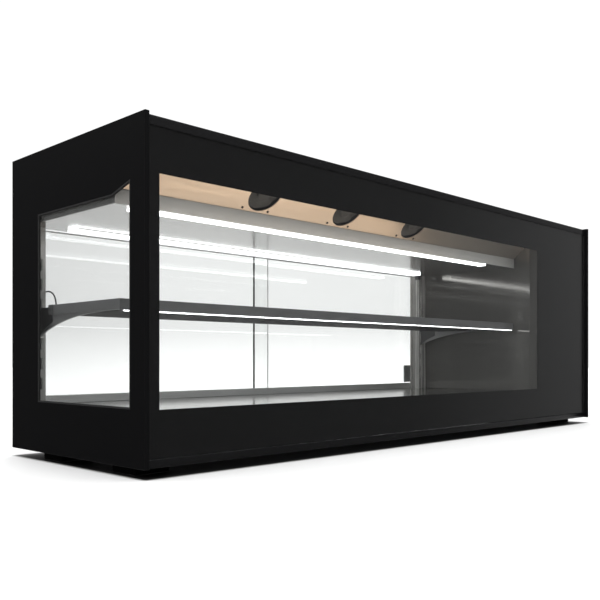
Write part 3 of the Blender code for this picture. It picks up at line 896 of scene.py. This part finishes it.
CAP_HALF_LENGTH, CAP_MARGIN = 0.0030, 0.0003
COVER_EDGE_OVERRUN, COVER_EDGE_OVERLAP = 0.0010, 0.0006
for row in ("front", "rear"):
    strip_low, strip_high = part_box(f"light_profile_{row}")
    cover_low, cover_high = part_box(f"light_diffuser_{row}")
    for end, x in (("left", strip_low.x), ("right", strip_high.x)):
        slab(
            f"light_{row}_cap_{end}",
            (x - CAP_HALF_LENGTH, strip_low.y - CAP_MARGIN, cover_low.z - 0.0002),
            (x + CAP_HALF_LENGTH, strip_high.y + CAP_MARGIN, strip_high.z),
            LOOKS["light_diffuser"],
            "case",
            0.0004,
        )

    slab(
        f"light_{row}_cover_edge",
        (
            strip_low.x - COVER_EDGE_OVERRUN,
            strip_low.y - CAP_MARGIN,
            cover_high.z - COVER_EDGE_OVERLAP,
        ),
        (
            strip_high.x + COVER_EDGE_OVERRUN,
            strip_low.y + CAP_MARGIN,
            strip_low.z + COVER_EDGE_OVERLAP,
        ),
        LOOKS["light_diffuser"],
        "case",
        0.0001,
        1,
    )

SHELF_CAP_HALF_LENGTH, LIP_HALF_DEPTH, LIP_SHARE = 0.0015, 0.0004, 0.32
strip_low, strip_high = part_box("shelf_light_diffuser")
for end, x in (("left", strip_low.x), ("right", strip_high.x)):
    slab(
        f"shelf_light_cap_{end}",
        (x - SHELF_CAP_HALF_LENGTH, strip_low.y - 0.0001, strip_low.z - 0.0002),
        (x + SHELF_CAP_HALF_LENGTH, strip_high.y, strip_high.z),
        LOOKS["grey_shelf_paint"],
        "shelf",
        0.0003,
    )

lit_height = strip_high.z - strip_low.z
slab(
    "shelf_light_lip",
    (
        strip_low.x - SHELF_CAP_HALF_LENGTH,
        strip_low.y - LIP_HALF_DEPTH,
        strip_high.z - LIP_SHARE * lit_height,
    ),
    (
        strip_high.x + SHELF_CAP_HALF_LENGTH,
        strip_low.y + LIP_HALF_DEPTH,
        strip_high.z + 0.0002,
    ),
    LOOKS["grey_shelf_paint"],
    "shelf",
)

pan_low, pan_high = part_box("base_pan")
slab(
    "apron_facing",
    (pan_low.x + 0.0004, pan_low.y - 0.0004, pan_low.z + 0.0002),
    (pan_high.x - 0.0004, pan_low.y + 0.0002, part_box("front_glass")[0].z - 0.0006),
    SEMI_GLOSS_BLACK,
    "case",
)

TRIM_END_GAP = 0.0005
roof_low, roof_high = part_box("ceiling_panel")
slope_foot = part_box("fan_panel")[0].z
# The riser's face in the paler steel: painted light from the strip beside it.
slab(
    "riser_trim",
    (roof_low.x + TRIM_END_GAP, roof_low.y - 0.0006, roof_low.z - 0.0003),
    (roof_high.x - TRIM_END_GAP, roof_low.y + 0.0002, slope_foot - 0.0003),
    RISER_STEEL_PAINTED_LIGHT,
    "case",
)
# The ceiling's rear trim glows with painted light, though it is no lamp.
slab(
    "ceiling_rear_trim",
    (roof_low.x + TRIM_END_GAP, roof_high.y - 0.0014, roof_low.z - 0.0006),
    (roof_high.x - TRIM_END_GAP, roof_high.y + 0.0018, roof_low.z + 0.0004),
    PAINTED_GLOW_EDGE,
    "case",
)

# Dark plates behind the upright slots: painted shade, so the slots read as dark recesses.
SLOT_SHADE_HALF_WIDTH = 0.0044
SLOT_SHADE_DEPTH = (0.0064, 0.0070)
SLOT_SHADE_HEIGHT = (0.095, 0.298)
slot_painted_shade = []
for side in ("left", "right"):
    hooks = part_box(f"bracket_{side}")
    slot_x = (hooks[0].x + hooks[1].x) / 2
    channel_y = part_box(f"upright_{side}")[0].y
    near, far = (
        (slot_x + half, channel_y + depth, height)
        for half, depth, height in zip(
            (-SLOT_SHADE_HALF_WIDTH, SLOT_SHADE_HALF_WIDTH), SLOT_SHADE_DEPTH, SLOT_SHADE_HEIGHT
        )
    )
    slot_painted_shade.append(block(near, far, 0.0002))
piece("upright_slot_backs", slot_painted_shade, LOOKS["dark_plastic"], "case")

edge_low, edge_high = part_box("door_left_glass")
slab(
    "door_left_edge_strip",
    (edge_high.x - 0.0001, edge_low.y + 0.0002, edge_low.z + 0.0005),
    (edge_high.x + 0.0007, edge_high.y - 0.0002, edge_high.z - 0.0005),
    CLEAR_STRIP,
    "door_left",
)

HOOK_PLATE_LENGTH, HOOK_PLATE_MARGIN = 0.0405, 0.0006
WRAP_LENGTH = 0.0124
tray_low, tray_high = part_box("shelf_tray")
for side in ("left", "right"):
    arm_low, arm_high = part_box(f"bracket_{side}")
    rear, top = arm_high.y - HOOK_PLATE_MARGIN, arm_high.z - HOOK_PLATE_MARGIN
    fold = arm_high.y - HOOK_PLATE_LENGTH
    gusset = [
        (rear, top),
        (fold, top),
        (fold, arm_low.z + 0.0200),
        (arm_high.y - 0.0200, arm_low.z + 0.0120),
        (rear, arm_low.z + 0.0010),
    ]
    end_x = tray_low.x if side == "left" else tray_high.x
    wrap = block(
        (end_x - HOOK_PLATE_MARGIN, tray_high.y - WRAP_LENGTH, tray_low.z + 0.0002),
        (end_x + HOOK_PLATE_MARGIN, tray_high.y + 0.0005, tray_high.z + 0.0004),
        0.0002,
    )
    hook_plate = plate(
        gusset, across_x, arm_low.x - HOOK_PLATE_MARGIN, arm_high.x + HOOK_PLATE_MARGIN
    )
    piece(
        f"bracket_{side}_hook_plate",
        [hook_plate, wrap],
        HOOK_PLATE,
        "shelf",
    )

STOP_THICKNESS, STOP_WIDTH = 0.0009, 0.0026
track_low, track_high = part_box("door_track_lower")
stops = []
for x in (track_low.x + 0.0004, track_high.x - 0.0036):
    for y in (0.1562, 0.1667):
        stops.append(
            block(
                (x, y, track_low.z + 0.0022),
                (x + STOP_THICKNESS, y + STOP_WIDTH, track_high.z - 0.0010),
                0.0002,
            )
        )
piece("door_stops", stops, LOOKS["lead_rubber"], "case")


# ---------------------------------------------------------------- machinery

shell_low, shell_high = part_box("compressor")
shell_mid = (shell_low + shell_high) / 2
shell_radius = (shell_high.x - shell_low.x) / 2
weld_z = shell_low.z + 0.078
WELD_HALF_HEIGHT, WELD_CROWN_HALF_HEIGHT, WELD_PROUD = 0.0020, 0.0008, 0.0016
LEG_INNER_END, LEG_OUTER_END = 0.040, 0.083
LEG_HALF_WIDTH, LEG_THICKNESS = 0.009, 0.0022
BOLT_CIRCLE_RADIUS, GROMMET_HEIGHT = 0.074, 0.0085
seam = [
    (0, weld_z - WELD_HALF_HEIGHT, 0),
    (shell_radius - 0.001, weld_z - WELD_HALF_HEIGHT, 0),
    (shell_radius + WELD_PROUD, weld_z - WELD_CROWN_HALF_HEIGHT, 0),
    (shell_radius + WELD_PROUD, weld_z + WELD_CROWN_HALF_HEIGHT, 0),
    (shell_radius - 0.001, weld_z + WELD_HALF_HEIGHT, 0),
    (0, weld_z + WELD_HALF_HEIGHT, 0),
]
legs = [moved(turned(seam, 48), Matrix.Translation((shell_mid.x, shell_mid.y, 0)))]
grommets = []
bolts = []
cradle_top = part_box("compressor_cradle")[1].z
for turn in (45, 135, 225, 315):
    out = Vector((math.cos(math.radians(turn)), math.sin(math.radians(turn)), 0))
    foot = shell_mid + out * BOLT_CIRCLE_RADIUS
    level = cradle_top + GROMMET_HEIGHT
    leg_top = level + LEG_THICKNESS
    shape = block(
        (LEG_INNER_END, -LEG_HALF_WIDTH, level),
        (LEG_OUTER_END, LEG_HALF_WIDTH, leg_top),
        0.0005,
    )
    place = Matrix.Translation((shell_mid.x, shell_mid.y, 0)) @ Matrix.Rotation(
        math.radians(turn), 4, "Z"
    )
    legs.append(moved(shape, place))
    rubber = [
        (0, cradle_top, 0),
        (0.0085, cradle_top, 0),
        (0.0095, cradle_top + 0.0020, 0),
        (0.0070, cradle_top + 0.0042, 0),
        (0.0095, cradle_top + 0.0064, 0),
        (0.0085, level, 0),
        (0, level, 0),
    ]
    grommets.append(moved(turned(rubber, 24), Matrix.Translation((foot.x, foot.y, 0))))
    bolts.append(moved(screw(0.0050), facing((foot.x, foot.y, leg_top), Z)))
piece("compressor_legs", legs, LOOKS["compressor_paint"], "case")
piece("compressor_grommets", grommets, LOOKS["foot_rubber"], "case")
piece("compressor_bolts", bolts, ZINC, "case")
slab(
    "compressor_terminal_cover",
    (shell_mid.x - 0.020, shell_low.y - 0.012, shell_low.z + 0.040),
    (shell_mid.x + 0.020, shell_low.y + 0.010, shell_low.z + 0.088),
    LOOKS["dark_plastic"],
    "case",
    0.0025,
    3,
)

coil_low, coil_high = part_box("condenser")
coil_y = (coil_low.y + coil_high.y) / 2 + 0.0015
COIL_ROWS, COIL_BEND_STEPS = 7, 8
COIL_END_INSET, COIL_ROW_INSET = 0.006, 0.012
ends_x = (coil_low.x + COIL_END_INSET, coil_high.x - COIL_END_INSET)
first_z = coil_low.z + COIL_ROW_INSET
row_pitch = (coil_high.z - coil_low.z - 2 * COIL_ROW_INSET) / (COIL_ROWS - 1)
serpentine = []
for n in range(COIL_ROWS):
    z = first_z + row_pitch * n
    from_x, to_x = ends_x if n % 2 == 0 else ends_x[::-1]
    out = 1 if to_x == ends_x[1] else -1
    serpentine += [Vector((from_x, coil_y, z)), Vector((to_x, coil_y, z))]
    if n < COIL_ROWS - 1:
        for k in range(1, COIL_BEND_STEPS):
            turn = math.pi * k / COIL_BEND_STEPS
            serpentine.append(
                Vector(
                    (
                        to_x + out * row_pitch / 2 * math.sin(turn),
                        coil_y,
                        z + row_pitch / 2 * (1 - math.cos(turn)),
                    )
                )
            )
piece("condenser_coil", [tube(serpentine, 0.0036, 12)], COPPER, "case")

HOT_BEND_X, DRIER_X, DRIER_Y = 0.583, 0.408, -0.030
EVAPORATOR_INLET_X, CAPILLARY_TOP_Z = 0.3965, 0.372
SUCTION_Z = 0.385
port_y = shell_mid.y + 0.025
discharge = [
    (shell_mid.x + 0.030, shell_mid.y + 0.030, shell_high.z - 0.012),
    (shell_mid.x + 0.030, shell_mid.y + 0.030, shell_high.z + 0.030),
    (HOT_BEND_X, shell_mid.y + 0.045, shell_high.z + 0.030),
    (HOT_BEND_X, coil_y, serpentine[-1].z),
    tuple(serpentine[-1]),
]
suction = [
    (shell_mid.x - 0.030, port_y, shell_high.z - 0.012),
    (shell_mid.x - 0.030, port_y, SUCTION_Z),
    (EVAPORATOR_INLET_X, port_y, SUCTION_Z),
]
liquid = [
    tuple(serpentine[0]),
    (DRIER_X, coil_y, serpentine[0].z),
    (DRIER_X, 0.060, serpentine[0].z - 0.010),
    (DRIER_X, DRIER_Y, 0.140),
    (DRIER_X, DRIER_Y, 0.175),
]
capillary = [
    (DRIER_X, DRIER_Y, 0.225),
    (DRIER_X, DRIER_Y, 0.345),
    (0.402, 0.000, CAPILLARY_TOP_Z),
    (EVAPORATOR_INLET_X, 0.010, CAPILLARY_TOP_Z),
]
pipes = [
    tube(rounded_path(corners, bend), radius)
    for corners, bend, radius in (
        (discharge, 0.014, 0.0030),
        (suction, 0.018, 0.0042),
        (liquid, 0.012, 0.0030),
        (capillary, 0.012, 0.0012),
    )
]
drier = [
    (0, 0.172, 0),
    (0.0032, 0.172, 0),
    (0.0040, 0.178, 0),
    (0.0085, 0.184, 0),
    (0.0085, 0.214, 0),
    (0.0040, 0.221, 0),
    (0.0018, 0.227, 0),
    (0, 0.227, 0),
]
pipes.append(moved(turned(drier, 24), Matrix.Translation((DRIER_X, DRIER_Y, 0))))
piece("refrigerant_pipes", pipes, COPPER, "case", 40)
NUT_RADIUS, NUT_HALF_LENGTH = 0.0068, 0.005
nuts = [
    moved(cylinder(NUT_RADIUS, -NUT_HALF_LENGTH, NUT_HALF_LENGTH, 6), facing(place, direction))
    for place, direction in (
        ((shell_mid.x - 0.030, port_y, shell_high.z + 0.014), Z),
        ((0.4035, port_y, SUCTION_Z), X),
    )
]
piece("flare_nuts", nuts, BRASS, "case")

box_low, box_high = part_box("electrical_box")
cover_place = (shell_mid.x, shell_low.y - 0.011, shell_low.z + 0.060)


def wire(name, corners, look, radius=0.0011):
    """A wire on the case along a line of corners, which it takes in easy bends."""
    path = rounded_path(corners, 0.014, 8)
    piece(name, [tube(path, radius, 8)], look, "case", 60)


for n, look in enumerate((RED_WIRE, BLUE_WIRE)):
    x = box_low.x + 0.060 + 0.006 * n
    wire(
        f"compressor_wire_{n + 1}",
        [
            (x, box_high.y - 0.020, box_low.z + 0.015),
            (x, box_high.y - 0.020, box_low.z - 0.030),
            (cover_place[0] - 0.006 + 0.010 * n, cover_place[1] - 0.020, cover_place[2] + 0.020),
            (cover_place[0] - 0.006 + 0.010 * n, cover_place[1], cover_place[2]),
        ],
        look,
    )
wire(
    "condenser_fan_wire",
    [
        (box_high.x - 0.010, box_high.y - 0.010, box_low.z + 0.015),
        (box_high.x - 0.010, box_high.y + 0.010, box_low.z - 0.012),
        (0.586, 0.060, box_low.z + 0.080),
        (0.586, 0.139, box_low.z + 0.070),
        (0.556, 0.142, box_low.z + 0.045),
    ],
    LOOKS["lead_rubber"],
    0.0016,
)
wire(
    "control_wire",
    [
        (box_low.x + 0.010, box_high.y - 0.012, box_low.z + 0.015),
        (box_low.x - 0.008, box_high.y - 0.005, box_low.z - 0.010),
        (box_low.x - 0.012, 0.040, 0.300),
        (box_low.x - 0.006, 0.150, 0.330),
        (box_low.x + 0.030, 0.1690, 0.335),
    ],
    LOOKS["lead_rubber"],
    0.0022,
)
gland = [
    (0, 0, 0),
    (0.0075, 0, 0),
    (0.0075, 0.0030, 0),
    (0.0055, 0.0035, 0),
    (0.0055, 0.0080, 0),
    (0, 0.0080, 0),
]
piece(
    "wiring_box_glands",
    [
        moved(
            turned(gland, 6),
            facing((box_low.x + 0.030 + 0.035 * n, box_low.y, box_low.z + 0.030), -Y),
        )
        for n in range(3)
    ],
    LOOKS["dark_plastic"],
    "case",
)
screws(
    "wiring_box_screws",
    [
        (x, box_low.y, z)
        for x in (box_low.x + 0.010, box_high.x - 0.010)
        for z in (box_low.z + 0.012, box_high.z - 0.012)
    ],
    -Y,
    0.0028,
    "case",
    ZINC,
)
slab(
    "wiring_box_label",
    (box_low.x + 0.045, box_low.y - 0.0003, box_low.z + 0.090),
    (box_low.x + 0.110, box_low.y + 0.0001, box_low.z + 0.135),
    LABEL,
    "case",
    0.0001,
    1,
)

FLANGE_EAR, FLANGE_RIM, FLANGE_LIP = 0.0100, 0.0025, 0.0022
FLANGE_SEAT, FLANGE_PROUD = 0.0001, 0.0016


def rectangle(low, high, out_x, out_z):
    """The XZ outline of a box, let out along each axis."""
    return [
        (low.x - out_x, low.z - out_z),
        (high.x + out_x, low.z - out_z),
        (high.x + out_x, high.z + out_z),
        (low.x - out_x, high.z + out_z),
    ]


piece(
    "inlet_flange",
    [
        flat_ring(
            rectangle(inlet_low, inlet_high, FLANGE_EAR, FLANGE_RIM),
            rectangle(inlet_low, inlet_high, -FLANGE_LIP, -FLANGE_LIP),
            across_y,
            panel_high.y - FLANGE_SEAT,
            panel_high.y + FLANGE_PROUD,
        )
    ],
    LOOKS["dark_plastic"],
    "case",
)
flange_screw_inset = FLANGE_EAR - 0.0050
screws(
    "inlet_screws",
    [
        (x, panel_high.y + FLANGE_PROUD, inlet_mid.z)
        for x in (inlet_low.x - flange_screw_inset, inlet_high.x + flange_screw_inset)
    ],
    Y,
    0.0022,
    "case",
    ZINC,
)


# ---------------------------------------------------------------- studio

def product(tree, first, second):
    made = node(
        tree, "ShaderNodeMath", {"operation": "MULTIPLY"}, {0: first, 1: second}
    )
    return made.outputs[0]


OVERHEAD_STRENGTH, BACKDROP_STRENGTH = 2.3, 1.05


def world_light():
    """Soft light, strong overhead, low in front and to the left. Seen through glass, a white room."""
    world = bpy.data.worlds.new("studio")
    bpy.context.scene.world = world
    world.use_nodes = True
    tree = world.node_tree
    tree.nodes.clear()
    place = node(tree, "ShaderNodeTexCoord")
    split = node(
        tree, "ShaderNodeSeparateXYZ", inputs={0: place.outputs["Generated"]}
    )
    along, inwards, up = (split.outputs[axis] for axis in ("X", "Y", "Z"))
    front = product(
        tree,
        spread(tree, along, 0.118, 0.205, 0.80, 0.91),
        spread(tree, up, 0.78, 1.0, -0.10, 0.15),
    )
    rear = spread(tree, along, 0.05, 1.0, -0.3, 0.2)
    level = float_mix(tree, spread(tree, inwards, 0.0, 1.0, -0.1, 0.1), front, rear)
    light = float_mix(tree, spread(tree, up, 0.0, 1.0, 0.3, 0.7), level, OVERHEAD_STRENGTH)
    path = node(tree, "ShaderNodeLightPath")
    straight = node(
        tree,
        "ShaderNodeMath",
        {"operation": "LESS_THAN"},
        {0: path.outputs["Glossy Depth"], 1: 0.5},
    )
    through_glass = product(
        tree, path.outputs["Is Transmission Ray"], straight.outputs[0]
    )
    room = product(
        tree,
        spread(tree, up, 1.35, 0.93, -0.03, 0.04),
        spread(tree, along, 1.0, 1.18, 0.45, 0.8),
    )
    through = float_mix(tree, through_glass, light, room)
    seen = float_mix(tree, path.outputs["Is Camera Ray"], through, BACKDROP_STRENGTH)
    background = node(
        tree, "ShaderNodeBackground", inputs={"Color": (1, 1, 1, 1), "Strength": seen}
    )
    output = node(tree, "ShaderNodeOutputWorld")
    tree.links.new(background.outputs[0], output.inputs["Surface"])


def under(tree, coordinate, half, soft):
    """1 within half of the middle along one coordinate, falling to 0 over the last soft metres."""
    size = node(tree, "ShaderNodeMath", {"operation": "ABSOLUTE"}, {0: coordinate})
    return spread(tree, size.outputs[0], 1.0, 0.0, half - soft, half)


# How far the floor's painted shadow reaches past the case's outline.
FLOOR_HALF, PAINTED_SHADOW_SPILL = 12.0, 0.005


def floor():
    """A pale floor with a painted shadow: near black where the case stands close over it."""
    made, tree, shader = finish("pale_floor_painted_shadow", (0.86, 0.86, 0.86), 0.6)
    place = node(tree, "ShaderNodeTexCoord")
    split = node(
        tree, "ShaderNodeSeparateXYZ", inputs={0: place.outputs["Object"]}
    )
    # Painted shadow: the floor's colour goes near black under the case, in place of the shade the case
    # casts.
    high = cad_box[1]
    painted_shadow = product(
        tree,
        under(tree, split.outputs["X"], high[0] + PAINTED_SHADOW_SPILL, 2 * PAINTED_SHADOW_SPILL),
        under(tree, split.outputs["Y"], high[1] + PAINTED_SHADOW_SPILL, 2 * PAINTED_SHADOW_SPILL),
    )
    pale = shades(tree, noise(tree, 3.0), (0.85, 0.85, 0.85), (0.87, 0.87, 0.87))
    mixed = node(
        tree,
        "ShaderNodeMix",
        {"data_type": "RGBA"},
        {0: painted_shadow, 6: pale, 7: (0.004, 0.004, 0.004, 1)},
    )
    drive(tree, shader, Base_Color=mixed.outputs[2])
    mesh = bpy.data.meshes.new("floor")
    half = FLOOR_HALF
    mesh.from_pydata(
        [(-half, -half, 0), (half, -half, 0), (half, half, 0), (-half, half, 0)],
        [],
        [(0, 1, 2, 3)],
    )
    mesh.materials.append(made)
    obj = bpy.data.objects.new("floor", mesh)
    bpy.context.scene.collection.objects.link(obj)
    obj.visible_glossy = False
    obj.visible_transmission = False


EYE = (-1.1259, -0.9539, 0.1446)
VIEW_ALONG, VIEW_INWARDS = 0.711, 0.703


def camera():
    """A level view from the front left, a little above the deck."""
    data = bpy.data.cameras.new("main_view")
    data.lens, data.sensor_width = 46.56, 36.0
    data.shift_y = 0.0987
    obj = bpy.data.objects.new("main_view", data)
    obj.location = EYE
    obj.rotation_euler = (math.radians(90), 0, -math.atan2(VIEW_ALONG, VIEW_INWARDS))
    bpy.context.scene.collection.objects.link(obj)
    bpy.context.scene.camera = obj


LAMP_LENGTH, LAMP_WIDTH, LAMP_POWER = 0.70, 0.030, 0.15
LAMP_PLACE = (-0.21, -0.140, 0.240)
LAMP_COLOUR = (1.0, 0.76, 0.54)


def bounce_light():
    """A warm light in front of the shelf, shining up on to the panel with the fans."""
    data = bpy.data.lights.new("warm_bounce", "AREA")
    data.shape = "RECTANGLE"
    data.size, data.size_y = LAMP_LENGTH, LAMP_WIDTH
    data.energy = LAMP_POWER
    data.color = LAMP_COLOUR
    obj = bpy.data.objects.new("warm_bounce", data)
    obj.location = LAMP_PLACE
    obj.rotation_euler = (math.radians(180), 0, 0)
    obj.visible_camera = False
    obj.visible_transmission = False
    bpy.context.scene.collection.objects.link(obj)


world_light()
floor()
bounce_light()
camera()
bpy.context.scene.view_settings.view_transform = "Standard"
